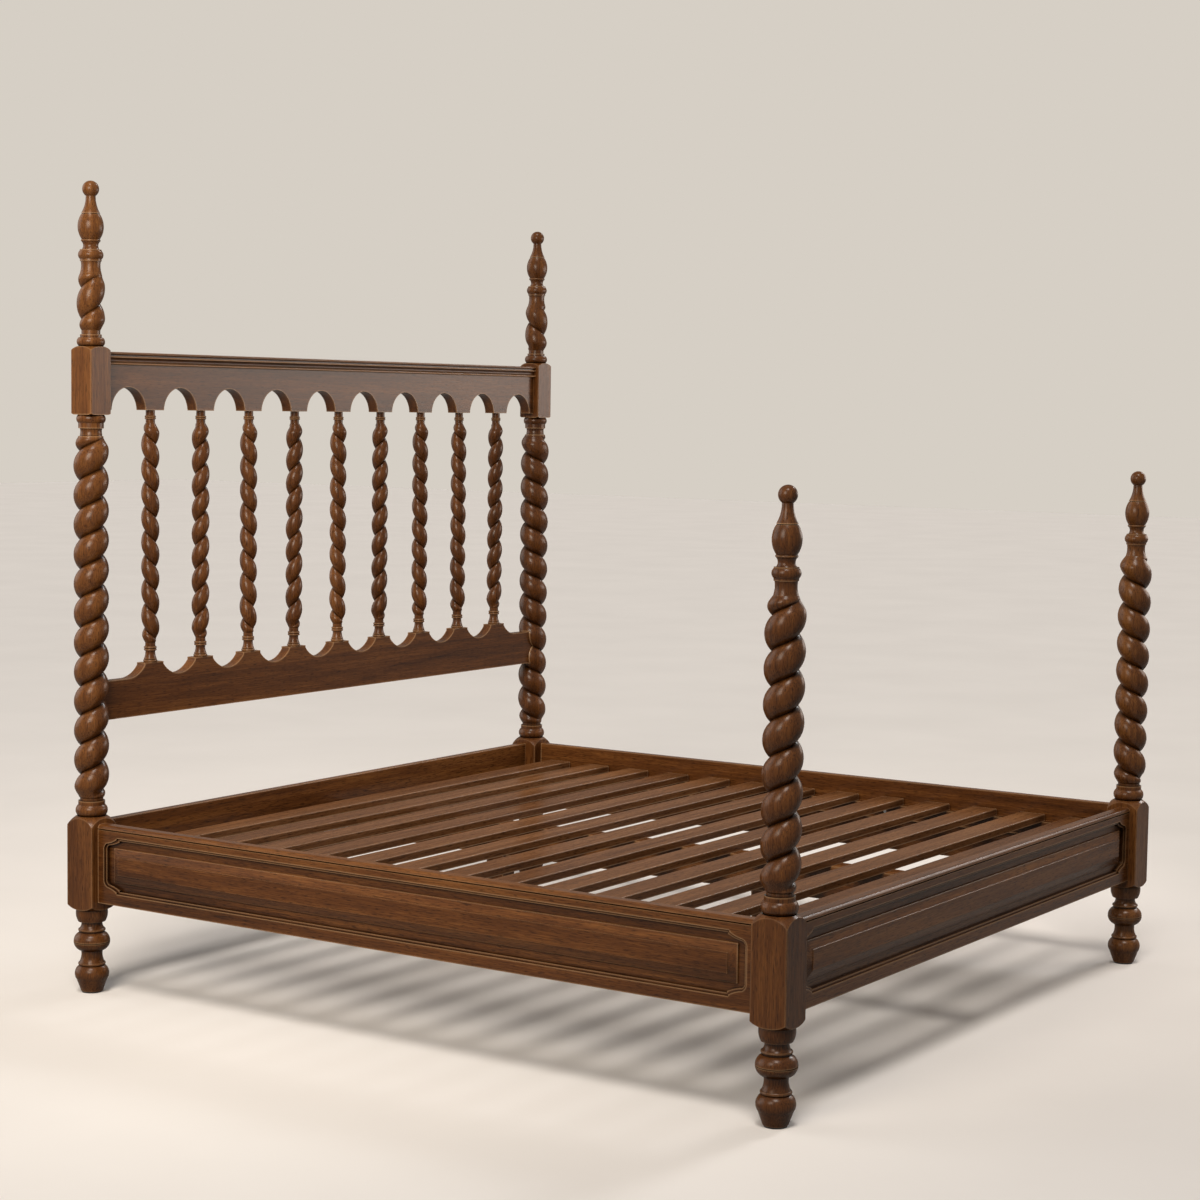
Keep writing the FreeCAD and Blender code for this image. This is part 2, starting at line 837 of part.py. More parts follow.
def foot_posts():
    lower, bottom = turn_lower_post("FootPostLower")
    top = size["foot_post_height"] - finial_height()
    whole = fuse("FootPostWhole", lower, lower_block("FootPostBlock"),
                 twist("FootPostTwist", "twist", bottom, top, size["base_neck_radius"],
                       size["finial_neck_radius"], size["foot_twist_phase"]),
                 finial("FootPostFinial", top), ball("FootPostBall", size["foot_post_height"]))
    left = cut("FootPostLeft", whole, *hook_pocket("FootPostHook", 1), rail_mortise("FootPostMortise", -1),
               plate_screw_holes("FootPostPilots", 1))
    place(left, -(size["post_span_x"] / 2), -(size["post_span_y"] / 2))
    keep(left, "foot_post_left")
    keep(mirrored("FootPostRight", left, ACROSS), "foot_post_right")


def head_posts():
    lower, bottom = turn_lower_post("HeadPostLower")
    collar = size["upper_block_bottom"] - size["collar_height"] - size["collar_fillet_height"]
    top = collar - size["collar_neck_height"]
    middle = Turning(size["collar_neck_radius"], top)
    middle.curve(size["collar_neck_height"], size["collar_neck_hollow"], hollow=True)
    middle.step(size["collar_fillet_radius"])
    middle.rise(size["collar_fillet_height"])
    middle.step(size["collar_radius"])
    middle.curve(size["collar_height"], size["collar_swell"])
    turn_core(middle, size["upper_core_radius"], size["upper_block_top"])
    turn_base(middle, "upper_base")
    upper_top = middle.z + size["upper_twist_height"]
    whole = fuse("HeadPostWhole", lower, lower_block("HeadPostBlock"),
                 twist("HeadPostTwist", "twist", bottom, top, size["base_neck_radius"],
                       size["collar_neck_radius"], size["head_twist_phase"], lower_rail_housing()),
                 turned("HeadPostMiddle", middle.steps), upper_block("HeadPostUpperBlock"),
                 twist("HeadPostUpperTwist", "upper_twist", middle.z, upper_top,
                       size["upper_base_neck_radius"], size["finial_neck_radius"],
                       size["upper_twist_phase"]),
                 finial("HeadPostFinial", upper_top), ball("HeadPostBall", upper_top + finial_height()))
    left = cut("HeadPostLeft", whole, *hook_pocket("HeadPostHook", -1), rail_mortise("HeadPostMortise", 1),
               plate_screw_holes("HeadPostPilots", -1), top_rail_mortise())
    place(left, -(size["post_span_x"] / 2), size["post_span_y"] / 2)
    keep(left, "head_post_left")
    keep(mirrored("HeadPostRight", left, ACROSS), "head_post_right")


def top_rail_mortise():
    gap = size["fit_gap"]
    face = size["upper_block_side"] / 2
    half = size["top_rail_tenon_thickness"] / 2 + gap
    inset = size["top_rail_tenon_inset"] - gap
    return box("TopRailMortise",
               (face - size["top_rail_tenon_length"] - size["mortise_spare"], -half,
                size["top_rail_bottom"] + inset),
               (face, half, size["top_rail_top"] - inset))


def lower_rail_housing():
    """Block to cut from a head post's twist so that it takes the whole end of the lower rail."""
    gap = size["fit_gap"].value
    near = size["lower_rail_axis_gap"].value - size["mortise_spare"].value
    wide = size["lower_rail_thickness"].value + gap * 2
    low = size["lower_rail_bottom"].value - gap
    high = size["lower_rail_top"].value - size["scallop_depth"].value + gap
    return Part.makeBox(size["twist_crest"].value * 2, wide, high - low, Vector(near, -wide / 2, low))


# Headboard
def spindle_spacing():
    """Distance between neighbouring spindles, shared out between the posts."""
    return (size["post_span_x"] - size["spindle_first_gap"] * 2) / (len(SPINDLE_HANDS) - 1)


def spindle_places():
    """Distances of the spindles from the middle of the bed."""
    middle = (len(SPINDLE_HANDS) - 1) / 2
    return [spindle_spacing() * (number - middle) for number in range(len(SPINDLE_HANDS))]


def pin_holes(name, length, z):
    """Sockets for the spindle pins along a rail whose left end is at X = 0."""
    tools = []
    for number, offset in enumerate(spindle_places(), start=1):
        hole = doc.addObject("Part::Cylinder", f"{name}{number}")
        bind(hole, Radius=size["spindle_pin_radius"] + size["fit_gap"],
             Height=size["spindle_pin_length"] + size["mortise_spare"])
        place(hole, length / 2 + offset, ZERO, z)
        tools.append(hole)
    return tools


def top_rail():
    """Rail with a row of arches along its lower edge and a tenon at each end."""
    length = size["post_span_x"] - size["upper_block_side"]
    height = size["top_rail_top"] - size["top_rail_bottom"]
    half_arch = size["arch_width"] / 2
    outline = []
    for number in range(len(SPINDLE_HANDS) + 1):
        centre = length / 2 + spindle_spacing() * (number - len(SPINDLE_HANDS) / 2)
        outline.append(line_to(centre - half_arch, ZERO))
        outline.append(arc_over(size["arch_width"], ZERO, centre + half_arch, ZERO, size["arch_height"], -1))
    outline += [line_to(length, ZERO), line_to(length, height), line_to(ZERO, height), line_to(ZERO, ZERO)]
    board = moulded("TopRailBoard", outline, size["top_rail_thickness"], "XZ_Plane", True)
    half = size["top_rail_tenon_thickness"] / 2
    inset = size["top_rail_tenon_inset"]
    tenon = size["top_rail_tenon_length"]
    tenons = [box("TopRailTenonLeft", (-tenon, -half, inset), (ZERO, half, height - inset)),
              box("TopRailTenonRight", (length, -half, inset), (length + tenon, half, height - inset))]
    rail = cut("TopRail", fuse("TopRailWhole", board, *tenons), *pin_holes("TopRailSocket", length, ZERO))
    place(rail, -(length / 2), size["post_span_y"] / 2, size["top_rail_bottom"])
    keep(rail, "headboard_top_rail")


def cap_side():
    """Side of the cap moulding from the bottom up: inset, height, swell and side of the stretch to it."""
    bead = size["cap_bead_swell"]
    step = size["cap_step"]
    lip = size["cap_lip_height"]
    cove = lip + size["cap_cove_height"]
    small = cove + size["cap_bead_height"]
    crown = size["cap_height"] - size["cap_top_bead_height"]
    return [(bead, ZERO, None, 0), (bead, lip, bead, 1), (step, lip, None, 0),
            (step, cove, size["cap_cove_hollow"], -1), (bead, cove, None, 0), (bead, small, bead, 1),
            (step, small, None, 0), (step, crown, None, 0), (bead * 2, crown, None, 0),
            (bead * 2, size["cap_height"], bead * 2, 1)]


def cap_moulding():
    """Beaded strip that is grooved to sit over the top edge of the rail."""
    length = size["post_span_x"] - size["upper_block_side"]
    depth = size["cap_depth"]
    groove = size["top_rail_thickness"] / 2 + size["fit_gap"]
    near = depth / 2 - groove
    far = depth / 2 + groove
    side = cap_side()
    outline = [line_to(near, ZERO), line_to(near, size["cap_groove_depth"]),
               line_to(far, size["cap_groove_depth"]), line_to(far, ZERO)]
    for inset, z, swell, bulge in side:
        add_side_step(outline, depth - inset, z, swell, bulge)
    outline.append(line_to(side[-1][0], side[-1][1]))
    for index in range(len(side) - 1, 0, -1):
        add_side_step(outline, side[index - 1][0], side[index - 1][1], side[index][2], side[index][3])
    cap = moulded("CapMoulding", outline, length)
    place(cap, -(length / 2), size["post_span_y"] / 2 - depth / 2,
          size["top_rail_top"] - size["cap_groove_depth"])
    keep(cap, "headboard_cap_moulding")


def add_side_step(outline, x, y, swell, side):
    """Add a straight step, or one with a swell."""
    if swell is None:
        outline.append(line_to(x, y))
    else:
        outline.append(swell_to(outline[-1], x, y, swell, side))


def lower_rail():
    """Rail with a flat-topped merlon under each spindle and a scallop between neighbours."""
    length = size["post_span_x"] - size["lower_rail_axis_gap"] * 2
    height = size["lower_rail_top"] - size["lower_rail_bottom"]
    half = size["merlon_width"] / 2
    scallop = spindle_spacing() - size["merlon_width"]
    shoulder = height - size["merlon_side"]
    depth = size["scallop_depth"] - size["merlon_side"]
    radius = (scallop * scallop / 4 + depth * depth) / (depth * 2)
    half_chord = math.hypot(scallop.value / 2, depth.value) / 2
    half_centre = math.sqrt(radius.value ** 2 - half_chord ** 2)
    low = shoulder - depth
    places = [length / 2 + offset for offset in spindle_places()]
    outline = [line_to(ZERO, ZERO), line_to(length, ZERO), line_to(length, low)]
    outline.append(line_to(places[-1] + half + scallop / 2, low))
    outline.append((places[-1] + half, shoulder, radius, -1, half_centre))
    outline.append(line_to(places[-1] + half, height))
    for number in range(len(places) - 1, 0, -1):
        outline.append(line_to(places[number] - half, height))
        outline.append(line_to(places[number] - half, shoulder))
        outline.append(arc_over(scallop, ZERO, places[number - 1] + half, shoulder, depth, -1))
        outline.append(line_to(places[number - 1] + half, height))
    outline.append(line_to(places[0] - half, height))
    outline.append(line_to(places[0] - half, shoulder))
    outline.append((places[0] - half - scallop / 2, low, radius, -1, half_centre))
    outline.append(line_to(ZERO, low))
    board = moulded("LowerRailBoard", outline, size["lower_rail_thickness"], "XZ_Plane", True)
    socket = height - size["spindle_pin_length"] - size["mortise_spare"]
    rail = cut("LowerRail", board, *pin_holes("LowerRailSocket", length, socket))
    place(rail, -(length / 2), size["post_span_y"] / 2, size["lower_rail_bottom"])
    keep(rail, "headboard_lower_rail")


def spindles():
    """Nine twisted spindles with round pins, each right- or left-handed."""
    base = size["lower_rail_top"]
    foot = Turning(size["spindle_pin_radius"], base - size["spindle_pin_length"])
    foot.rise_to(base)
    foot.step(size["spindle_base_radius"])
    foot.curve(size["spindle_base_height"], size["spindle_base_swell"])
    foot.step(size["spindle_foot_ring_radius"])
    foot.curve(size["spindle_foot_ring_height"], size["spindle_foot_ring_swell"])
    foot.curve(size["spindle_bell_height"], size["spindle_bell_hollow"], size["spindle_bell_top_radius"],
               hollow=True)
    foot.step(size["spindle_ring_radius"])
    for _ in range(2):
        foot.curve(size["spindle_ring_height"], size["spindle_ring_swell"])
    foot.step(size["spindle_neck_radius"])
    foot.rise(size["spindle_neck_height"])
    ring = size["spindle_top_ring_height"]
    twist_top = size["top_rail_bottom"] - size["spindle_top_neck_height"] - ring * 2
    twist_top = twist_top - size["spindle_neck_height"]
    head = Turning(size["spindle_top_neck_radius"], twist_top)
    head.rise(size["spindle_neck_height"])
    head.step(size["spindle_top_ring_radius"])
    for _ in range(2):
        head.curve(ring, size["spindle_top_ring_swell"])
    head.step(size["spindle_top_neck_radius"])
    head.rise_to(size["top_rail_bottom"])
    head.step(size["spindle_pin_radius"])
    head.rise(size["spindle_pin_length"])
    right = fuse("SpindleRightHand", turned("SpindleFoot", foot.steps),
                 twist("SpindleTwist", "spindle_twist", foot.z, twist_top, size["spindle_neck_radius"],
                       size["spindle_top_neck_radius"], size["spindle_twist_phase"]),
                 turned("SpindleHead", head.steps))
    place(right, y=size["post_span_y"] / 2)
    left = mirrored("SpindleLeftHand", right, ACROSS)
    for number, (hand, offset) in enumerate(zip(SPINDLE_HANDS, spindle_places()), start=1):
        source = left if hand == "right" else right
        keep(mirrored(f"Spindle{number}", source, ACROSS, offset / 2), f"spindle_{number}")


# Rails round the bed
def inner_half_x():
    """From the middle of the bed to the inner face of a side rail."""
    return size["post_span_x"] / 2 + size["rail_face_offset"] - size["rail_thickness"]


def inner_half_y():
    """From the middle of the bed to the inner face of the head or foot rail."""
    return size["post_span_y"] / 2 + size["rail_face_offset"] - size["rail_thickness"]


def rail_section():
    """Section of a rail, outer face at Y = 0: a bead and its quirk run along the outer top edge."""
    thick = size["rail_thickness"]
    high = size["rail_height"]
    bead = size["rail_bead_size"]
    quirk = size["rail_quirk"]
    arris = size["rail_arris"]
    outline = [line_to(ZERO, ZERO), line_to(thick, ZERO), line_to(thick, high - arris)]
    outline.append(round_to(thick - arris, high, arris))
    outline.append(line_to(bead, high))
    outline.append(round_to(ZERO, high - bead, bead))
    outline.append(line_to(quirk, high - bead - quirk / 2))
    outline.append(line_to(ZERO, high - bead - quirk))
    return outline


def recess_outline(length, spread):
    """Outline of the panel recess with a sloping ear at each corner, grown by spread on all sides."""
    corner = size["recess_ear_round"] + spread
    ear = size["recess_ear_length"]
    step = size["recess_ear_step"]
    swell = size["recess_ear_swell"]
    near_x = size["recess_end_margin"] - spread
    near_z = size["recess_margin"] - spread
    far_x = length - near_x
    far_z = size["rail_height"] - near_z
    low_ear = near_z + size["recess_ear_drop"]
    high_ear = far_z - size["recess_ear_drop"]
    outline = [line_to(near_x + ear, near_z), line_to(far_x - ear, near_z)]
    outline.append(line_to(far_x - ear, near_z + step))
    outline.append(swell_to(outline[-1], far_x - corner, low_ear, swell, -1))
    outline.append(round_to(far_x, low_ear + corner, corner))
    outline.append(line_to(far_x, high_ear - corner))
    outline.append(round_to(far_x - corner, high_ear, corner))
    outline.append(swell_to(outline[-1], far_x - ear, far_z - step, swell, -1))
    outline.append(line_to(far_x - ear, far_z))
    outline.append(line_to(near_x + ear, far_z))
    outline.append(line_to(near_x + ear, far_z - step))
    outline.append(swell_to(outline[-1], near_x + corner, high_ear, swell, -1))
    outline.append(round_to(near_x, high_ear - corner, corner))
    outline.append(line_to(near_x, low_ear + corner))
    outline.append(round_to(near_x + corner, low_ear, corner))
    outline.append(swell_to(outline[-1], near_x + ear, near_z + step, swell, -1))
    return outline


def sink(body, name, outline, depth):
    """Sink a pocket of an outline into the outer face of a rail."""
    sketch = sketch_on(body, name + "Outline", "XZ_Plane")
    draw_outline(sketch, outline)
    pocket = body.newObject("PartDesign::Pocket", name)
    pocket.Profile = sketch
    bind(pocket, Length=depth)
    return pocket


def panelled_board(name, length):
    """Rail board with the stepped recess for its raised panel."""
    board = moulded(name, rail_section(), length)
    sink(board, name + "Lip", recess_outline(length, size["recess_lip"]), size["recess_lip_depth"])
    sink(board, name + "Recess", recess_outline(length, ZERO), size["recess_depth"])
    return board


def raised_panel(name, length):
    """Raised and fielded panel: a thin edge, a broad bevel and a stepped field."""
    low_x = size["recess_end_margin"] + size["panel_end_gap"]
    low_z = size["recess_margin"] + size["panel_gap"]
    high_x = length - low_x
    high_z = size["rail_height"] - low_z
    edge_y = size["recess_depth"] - size["panel_edge"]
    bevel_y = edge_y - size["panel_bevel_rise"]
    edge = box(name + "Edge", (low_x, edge_y, low_z), (high_x, size["recess_depth"], high_z))
    step = size["panel_field_step"]
    bevel = doc.addObject("Part::Wedge", name + "Bevel")
    inset = size["panel_bevel"]
    bind(bevel, Ymin=bevel_y, Ymax=edge_y, X2min=low_x + step, X2max=high_x - step, Z2min=low_z + step,
         Z2max=high_z - step, Xmin=low_x + inset, Xmax=high_x - inset, Zmin=low_z + inset,
         Zmax=high_z - inset)
    field = box(name + "Field", (low_x + inset + step, bevel_y - step, low_z + inset + step),
                (high_x - inset - step, bevel_y, high_z - inset - step))
    return fuse(name, edge, bevel, field)


def rail_tenons(name, length):
    """A tenon on each end of a cross rail."""
    half = size["rail_tenon_thickness"] / 2
    middle = size["rail_thickness"] / 2
    inset = size["rail_tenon_inset"]
    reach = size["joint_depth"]
    low = middle - half
    high = middle + half
    top = size["rail_height"] - inset
    return [box(name + "Left", (-reach, low, inset), (ZERO, high, top)),
            box(name + "Right", (length, low, inset), (length + reach, high, top))]


def foot_and_head_rails():
    length = size["post_span_x"] - size["block_side"]
    outer = size["post_span_y"] / 2 + size["rail_face_offset"]
    panelled = fuse("FootRailWhole", panelled_board("FootRailBoard", length),
                    *rail_tenons("FootRailTenon", length))
    foot = cut("FootRail", panelled, hanger_pilots("FootRailPilots", length))
    place(foot, -(length / 2), -outer, size["rail_bottom"])
    keep(foot, "foot_rail")
    panel = raised_panel("FootPanel", length)
    place(panel, -(length / 2), -outer, size["rail_bottom"])
    keep(panel, "foot_panel")
    plain = moulded("HeadRailBoard", rail_section(), length)
    head = cut("HeadRail", fuse("HeadRailWhole", plain, *rail_tenons("HeadRailTenon", length)),
               hanger_pilots("HeadRailPilots", length))
    place(head, length / 2, outer, size["rail_bottom"], 180)
    keep(head, "head_cross_rail")


def side_rails():
    length = size["post_span_y"] - size["block_side"]
    outer = size["post_span_x"] / 2 + size["rail_face_offset"]
    gap = size["fit_gap"]
    middle = size["rail_thickness"] / 2
    level = size["rail_height"] / 2
    half = size["hook_plate_width"] / 2 + gap
    tall = size["hook_plate_length"] / 2 + gap
    sheet = size["plate_sheet"]
    seats = [box("SideRailSeatHead", (ZERO, middle - half, level - tall),
                 (sheet, middle + half, level + tall)),
             box("SideRailSeatFoot", (length - sheet, middle - half, level - tall),
                 (length, middle + half, level + tall))]
    rail = cut("SideRailLeft", panelled_board("SideRailBoard", length), *seats, ledger_pilots(length),
               hook_screw_pilots(length))
    place(rail, -outer, length / 2, size["rail_bottom"], -90)
    keep(rail, "side_rail_left")
    keep(mirrored("SideRailRight", rail, ACROSS), "side_rail_right")
    panel = raised_panel("SidePanelLeft", length)
    place(panel, -outer, length / 2, size["rail_bottom"], -90)
    keep(panel, "side_panel_left")
    keep(mirrored("SidePanelRight", panel, ACROSS), "side_panel_right")


def hook_screw_pilots(length):
    """Pilot holes in the ends of a side rail, in its own frame."""
    reach = size["hook_plate_length"].value / 2 - size["plate_screw_inset"].value
    middle = size["rail_thickness"].value / 2
    level = size["rail_height"].value / 2
    places = []
    for z in (level - reach, level + reach):
        places.append(((0.0, middle, z), (1, 0, 0)))
        places.append(((length.value, middle, z), (-1, 0, 0)))
    return rods("HookScrewPilots", size["screw_radius"].value + size["fit_gap"].value,
                size["plate_screw_length"].value + size["plate_sheet"].value, places)


def ledger_screw_offsets():
    """Places of the ledger screws along the bed, counted from the middle."""
    count = int(round(size["ledger_screw_count"].value))
    reach = inner_half_y().value - size["ledger_end_gap"].value
    step = 2 * reach / count
    return [step * (number - (count - 1) / 2) for number in range(count)]


def ledger_screw_level():
    return size["slat_top"].value - size["slat_thickness"].value - size["ledger_height"].value / 2


def ledger_pilots(length):
    """Pilot holes for the ledger screws in the inner face of a side rail, in its own frame."""
    spare = size["mortise_spare"].value
    depth = size["ledger_screw_length"].value - size["ledger_width"].value + spare
    level = ledger_screw_level() - size["rail_bottom"].value
    places = []
    for offset in ledger_screw_offsets():
        places.append(((length.value / 2 + offset, size["rail_thickness"].value, level), (0, -1, 0)))
    return rods("LedgerPilots", size["screw_radius"].value + size["fit_gap"].value, depth, places)


# Slats and what carries them
def slat_places():
    """Distances of the slats from the middle of the bed."""
    count = int(round(size["slat_count"].value))
    pitch = (inner_half_y() * 2 - size["slat_end_space"] * 2 - size["slat_width"]) / (count - 1)
    return [pitch * (number - (count - 1) / 2) for number in range(count)]


def peg_x():
    """Distance of the slat pegs from the middle of the bed."""
    return inner_half_x() - size["ledger_width"] / 2


def slats():
    length = (inner_half_x() - size["slat_end_gap"]) * 2
    wide = size["slat_width"]
    thick = size["slat_thickness"]
    arris = size["slat_arris"]
    outline = [line_to(ZERO, ZERO), line_to(wide, ZERO), line_to(wide, thick - arris),
               round_to(wide - arris, thick, arris), line_to(arris, thick),
               round_to(ZERO, thick - arris, arris)]
    pegs = ((length / 2 - peg_x()).value, (length / 2 + peg_x()).value)
    places = [((x, wide.value / 2, 0.0), (0, 0, 1)) for x in pegs]
    sockets = rods("SlatSockets", size["peg_radius"].value, size["peg_depth"].value, places)
    for number, offset in enumerate(slat_places(), start=1):
        slat = cut(f"Slat{number}", moulded(f"SlatBoard{number}", outline, length), sockets)
        place(slat, -(length / 2), offset - wide / 2, size["slat_top"] - thick)
        keep(slat, f"slat_{number:02d}")


def slat_pegs():
    """Dowels that keep the slats in place on the ledgers."""
    foot = (size["slat_top"] - size["slat_thickness"] - size["peg_depth"] + size["mortise_spare"]).value
    long = (size["peg_depth"] * 2 - size["mortise_spare"] * 2).value
    places = []
    for offset in slat_places():
        for side in (-1, 1):
            places.append(((side * peg_x().value, offset.value, foot), (0, 0, 1)))
    keep(rods("SlatPegs", size["peg_radius"].value - size["fit_gap"].value, long, places), "slat_pegs")


def ledgers():
    """Strips inside the side rails, with sockets for the pegs and holes for their screws."""
    face = inner_half_x()
    reach = inner_half_y() - size["ledger_end_gap"]
    top = size["slat_top"] - size["slat_thickness"]
    strip = box("LedgerStrip", (-face, -reach, top - size["ledger_height"]),
                (size["ledger_width"] - face, reach, top))
    sockets = []
    for offset in slat_places():
        sockets.append(((-peg_x().value, offset.value, top.value - size["peg_depth"].value), (0, 0, 1)))
    holes = []
    for offset in ledger_screw_offsets():
        holes.append(((-face.value, offset, ledger_screw_level()), (1, 0, 0)))
    left = cut("LedgerLeft", strip,
               rods("LedgerSockets", size["peg_radius"].value, size["peg_depth"].value, sockets),
               rods("LedgerHoles", size["screw_head_radius"].value + size["fit_gap"].value,
                    size["ledger_width"].value, holes))
    keep(left, "slat_ledger_left")
    keep(mirrored("LedgerRight", left, ACROSS), "slat_ledger_right")


def ledger_screws():
    face = inner_half_x().value - size["ledger_width"].value
    places = []
    for offset in ledger_screw_offsets():
        for side in (-1, 1):
            places.append(((side * face, offset, ledger_screw_level()), (side, 0, 0)))
    keep(screws("LedgerScrews", size["ledger_screw_length"].value, places), "ledger_screws")


def beam_bottom():
    return size["slat_top"] - size["slat_thickness"] - size["beam_height"]


def centre_beam():
    """Beam under the middle of the slats, with holes for the bolts of its legs."""
    half = size["beam_width"] / 2
    reach = inner_half_y() - size["hanger_sheet"] - size["mortise_spare"]
    beam = box("BeamBar", (-half, -reach, beam_bottom()), (half, reach, beam_bottom() + size["beam_height"]))
    places = [((0, y, beam_bottom().value), (0, 0, 1)) for y in leg_places()]
    bores = rods("BeamBores", size["leg_bolt_radius"].value + size["fit_gap"].value,
                 size["leg_bolt_depth"].value + size["mortise_spare"].value, places)
    keep(cut("CentreBeam", beam, bores), "centre_beam")


def leg_places():
    half = size["centre_leg_spacing"].value / 2
    return (-half, half)


def centre_legs():
    """Two tapered legs under the beam, each held by a bolt along its axis."""
    height = beam_bottom() - size["glide_height"]
    top = size["centre_leg_top_side"] / 2
    foot = size["centre_leg_foot_side"] / 2
    depth = size["leg_bolt_depth"].value + size["mortise_spare"].value
    radius = size["leg_bolt_radius"].value + size["fit_gap"].value
    for label, y in (("centre_leg_foot", -(size["centre_leg_spacing"] / 2)),
                     ("centre_leg_head", size["centre_leg_spacing"] / 2)):
        name = label.title().replace("_", "")
        taper = doc.addObject("Part::Wedge", name + "Taper")
        bind(taper, Ymin=ZERO, Ymax=height, Xmin=-foot, Xmax=foot, Zmin=-foot, Zmax=foot,
             X2min=-top, X2max=top, Z2min=-top, Z2max=top)
        place(taper, ZERO, y, size["glide_height"], 90, ACROSS)
        bore = rods(name + "Bore", radius, depth, [((0, y.value, beam_bottom().value - depth), (0, 0, 1))])
        keep(cut(name, taper, bore), label)
    reach = size["leg_bolt_depth"].value
    places = [((0, y, beam_bottom().value - reach), (0, 0, 1)) for y in leg_places()]
    keep(rods("LegBolts", size["leg_bolt_radius"].value, reach * 2, places), "centre_leg_bolts")


def glides():
    """Discs between the wood and the floor."""
    half_x = size["post_span_x"].value / 2
    half_y = size["post_span_y"].value / 2
    high = size["glide_height"].value
    places = [((x, y, 0), (0, 0, 1)) for x in (-half_x, half_x) for y in (-half_y, half_y)]
    keep(rods("PostGlides", size["glide_radius"].value, high, places), "post_glides")
    places = [((0, y, 0), (0, 0, 1)) for y in leg_places()]
    keep(rods("LegGlides", size["leg_glide_radius"].value, high, places), "centre_leg_glides")


# Steel hangers that carry the beam on the foot rail and the head rail
def hanger_screw_spots():
    """Screw places of a hanger: distance from the middle and height over the floor."""
    cheek = size["beam_width"] / 2 + size["hanger_play"] + size["hanger_sheet"]
    x = (cheek + size["hanger_flange"] / 2).value
    low = beam_bottom().value + size["hanger_screw_inset"].value
    high = beam_bottom().value + size["hanger_height"].value - size["hanger_screw_inset"].value
    return [(side * x, z) for side in (-1, 1) for z in (low, high)]


def hanger_pilots(name, length):
    """Pilot holes in the inner face of a cross rail, in its own frame."""
    places = []
    for x, z in hanger_screw_spots():
        places.append(((length.value / 2 + x, size["rail_thickness"].value, z - size["rail_bottom"].value),
                       (0, -1, 0)))
    return rods(name, size["screw_radius"].value + size["fit_gap"].value, size["hanger_screw_length"].value,
                places)


def beam_hangers():
    half = size["beam_width"] / 2 + size["hanger_play"]
    sheet = size["hanger_sheet"]
    wide = half + sheet
    face = -inner_half_y()
    front = face + sheet + size["hanger_reach"]
    low = beam_bottom() - sheet
    top = beam_bottom() + size["hanger_height"]
    plate = box("HangerPlate", (-(wide + size["hanger_flange"]), face, low),
                (wide + size["hanger_flange"], face + sheet, top))
    cheeks = [box("HangerCheekLeft", (-wide, face, low), (-half, front, top)),
              box("HangerCheekRight", (half, face, low), (wide, front, top)),
              box("HangerSeat", (-wide, face, low), (wide, front, low + sheet))]
    places = [((x, face.value, z), (0, 1, 0)) for x, z in hanger_screw_spots()]
    holes = rods("HangerHoles", size["screw_head_radius"].value + size["fit_gap"].value, sheet.value, places)
    foot = cut("HangerFoot", fuse("HangerFootWhole", plate, *cheeks), holes)
    keep(foot, "beam_hanger_foot")
    keep(mirrored("HangerHead", foot, ALONG), "beam_hanger_head")
    places = []
    for x, z in hanger_screw_spots():
        for side in (-1, 1):
            places.append(((x, side * (inner_half_y().value - sheet.value), z), (0, side, 0)))
    keep(screws("HangerScrews", size["hanger_screw_length"].value, places), "hanger_screws")


# Hooked plates at the four ends of the side rails
def four_corners(name, source, label):
    """A fitting of the left foot corner and its images at the other three."""
    across = mirrored(name + "Across", source, ACROSS)
    along = mirrored(name + "Along", source, ALONG)
    keep(gathered(name + "All", source, across, along, mirrored(name + "Far", along, ACROSS)), label)


def hook_plates():
    gap = size["fit_gap"]
    middle = -(size["post_span_x"] / 2) - rail_centre()
    face = size["block_side"] / 2 - size["post_span_y"] / 2
    sheet = size["plate_sheet"]
    level = hook_level()
    half = size["hook_plate_width"] / 2
    tall = size["hook_plate_length"] / 2
    blade = size["hook_thickness"] / 2
    pieces = [box("HookPlateSheet", (middle - half, face, level - tall),
                  (middle + half, face + sheet, level + tall))]
    slots = []
    throat = face - sheet - size["hook_play"]
    for name, offset in (("Low", -(size["hook_spread"] / 2)), ("High", size["hook_spread"] / 2)):
        seat = level + offset - size["hook_height"] / 2
        crown = seat + size["hook_height"]
        pieces.append(box(f"Hook{name}Neck", (middle - blade, throat, seat), (middle + blade, face, crown)))
        pieces.append(box(f"Hook{name}Lip",
                          (middle - blade, throat - size["hook_lip"], seat - size["hook_drop"]),
                          (middle + blade, throat, crown)))
        slots.append(box(f"Slot{name}", (middle - blade - gap, face - sheet, seat),
                         (middle + blade + gap, face, crown + size["hook_drop"] + gap)))
    hole = size["screw_head_radius"].value + gap.value
    levels = plate_screw_levels("hook_plate_length")
    rail_spots = [((middle.value, face.value, z), (0, 1, 0)) for z in levels]
    rail_holes = rods("HookPlateHoles", hole, sheet.value, rail_spots)
    hooks = cut("HookPlate", fuse("HookPlateWhole", *pieces), rail_holes)
    four_corners("HookPlates", hooks, "rail_hook_plates")
    wide = size["slot_plate_width"] / 2
    long = size["slot_plate_length"] / 2
    plate = box("SlotPlateSheet", (middle - wide, face - sheet, level - long),
                (middle + wide, face, level + long))
    levels = plate_screw_levels("slot_plate_length")
    post_spots = [((middle.value, face.value, z), (0, -1, 0)) for z in levels]
    post_holes = rods("SlotPlateHoles", hole, sheet.value, post_spots)
    four_corners("SlotPlates", cut("SlotPlate", plate, *slots, post_holes), "post_slot_plates")
    pair = screws("PlateScrewsOne", size["plate_screw_length"].value, rail_spots + post_spots)
    four_corners("PlateScrews", pair, "hook_plate_screws")


